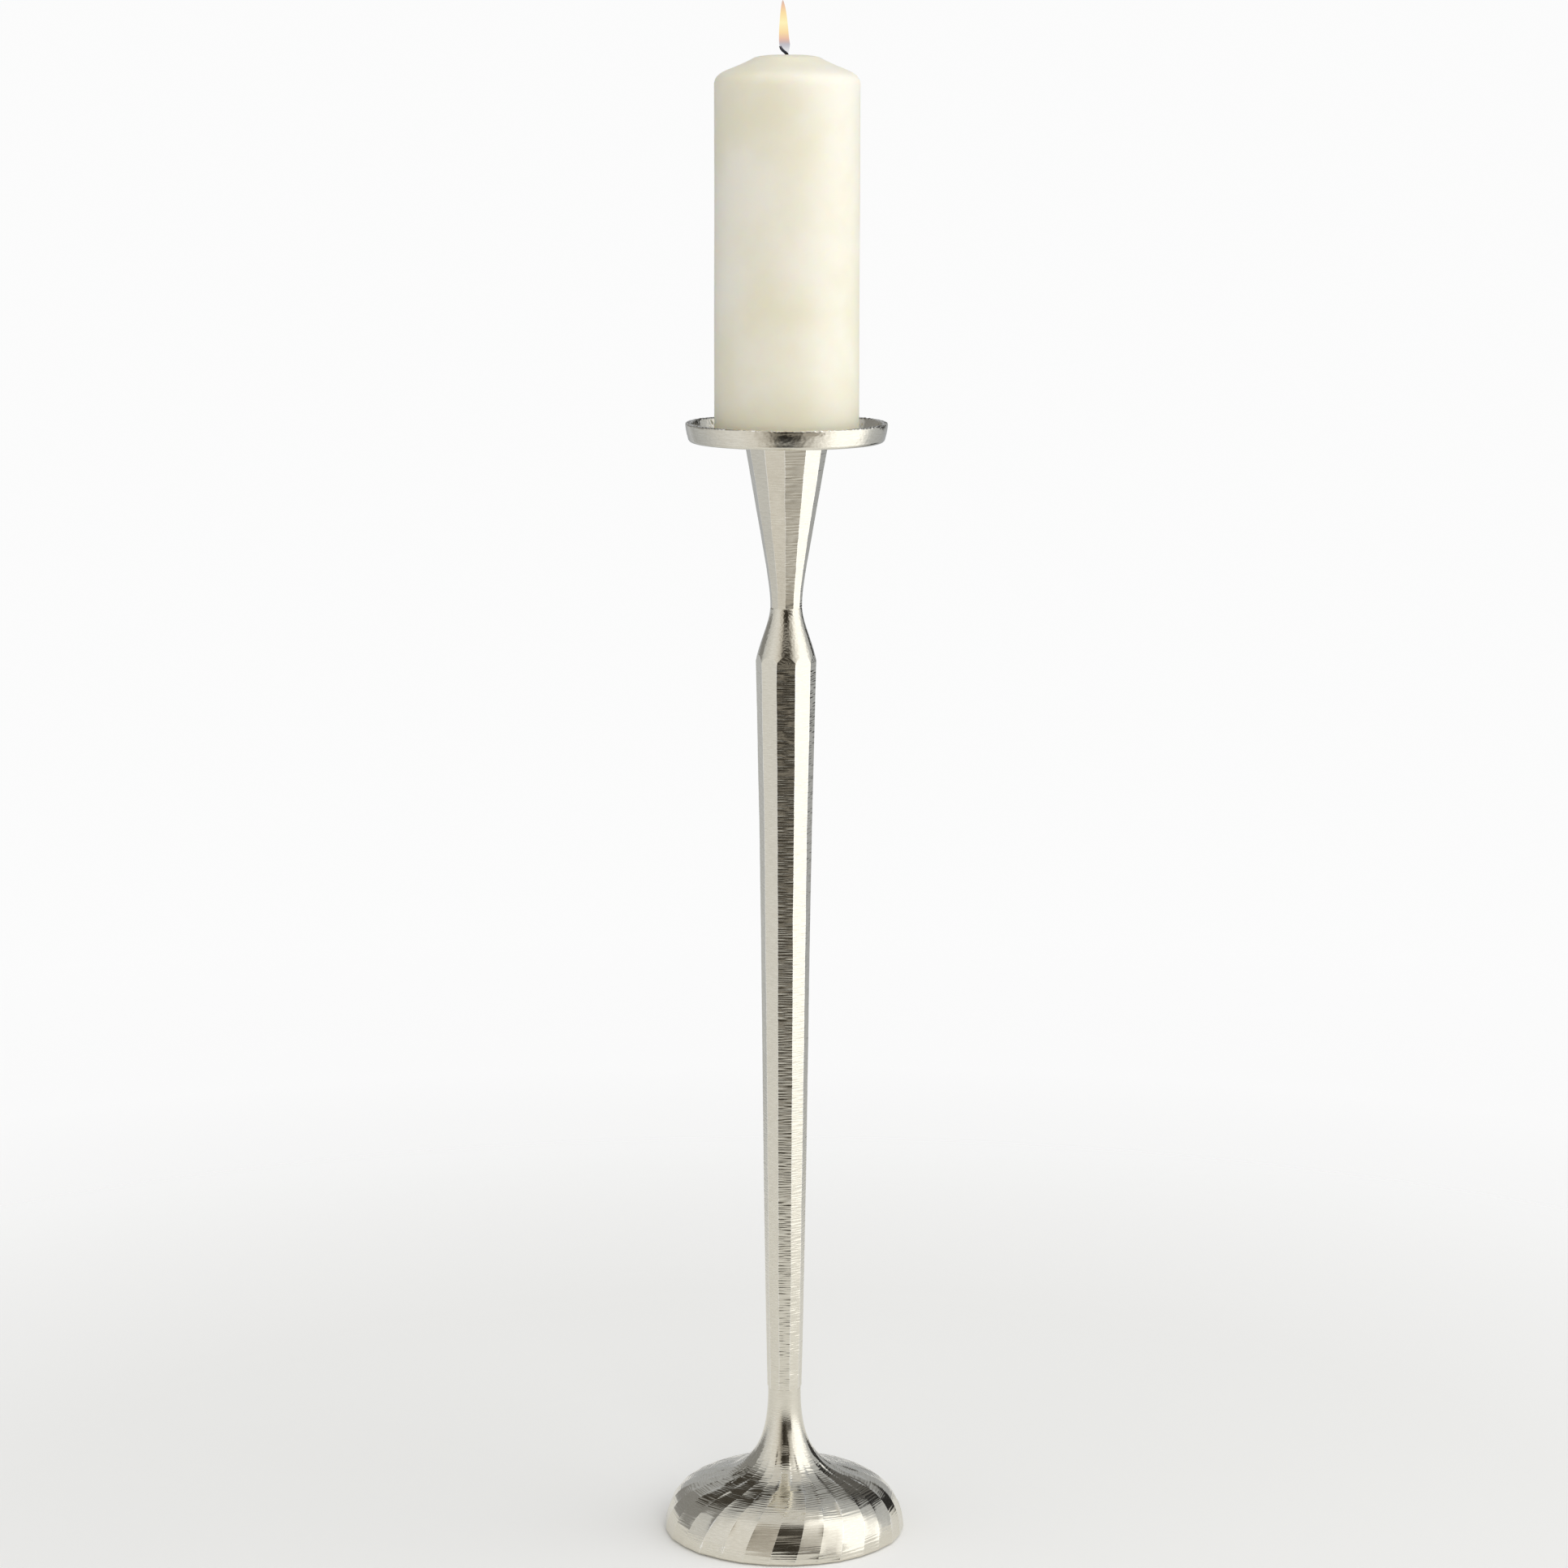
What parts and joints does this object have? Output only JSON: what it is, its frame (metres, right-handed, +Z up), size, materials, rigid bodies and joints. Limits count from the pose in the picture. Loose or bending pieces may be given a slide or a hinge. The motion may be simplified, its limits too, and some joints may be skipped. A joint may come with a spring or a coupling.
{
  "type": "pillar candlestick",
  "caption": "Tall cast-metal candlestick with a faceted domed foot, slender many-sided stem, flaring cone and rimmed dish holding a lift-off pillar candle.",
  "frame": {"origin": "on the table, at the centre of the foot", "axes": "+Z up along the stem, -Y towards the front, where one flat of the stem and one corner of the cone face"},
  "size_m": [0.1298, 0.1306, 0.8009],
  "materials": {
    "felt": "pressed grey felt",
    "plated_casting": "bright nickel plate over a hand-filed casting",
    "cast_iron": "sand cast",
    "zinc_steel": "zinc plated",
    "wax": "moulded ivory paraffin wax",
    "tin": "tin plate",
    "wick": "braided cotton, charred at its end"
  },
  "bodies": {
    "stick": {"felt_pad": "felt", "base_dome": "plated_casting", "ballast_weight": "cast_iron", "clamp_washer": "zinc_steel", "lock_washer": "zinc_steel", "clamp_nut": "zinc_steel", "tie_rod": "zinc_steel", "lower_stem": "plated_casting", "neck_collar": "plated_casting", "upper_cone": "plated_casting", "dish": "plated_casting", "dish_screw": "zinc_steel"},
    "candle": {"candle": "wax", "wick_sustainer": "tin", "wick": "wick"}
  },
  "joints": [
    {"name": "candle_lift", "type": "slide", "parent": "stick", "child": "candle", "axis": [0, 0, 1], "range_m": [0, 0.1]}
  ]
}
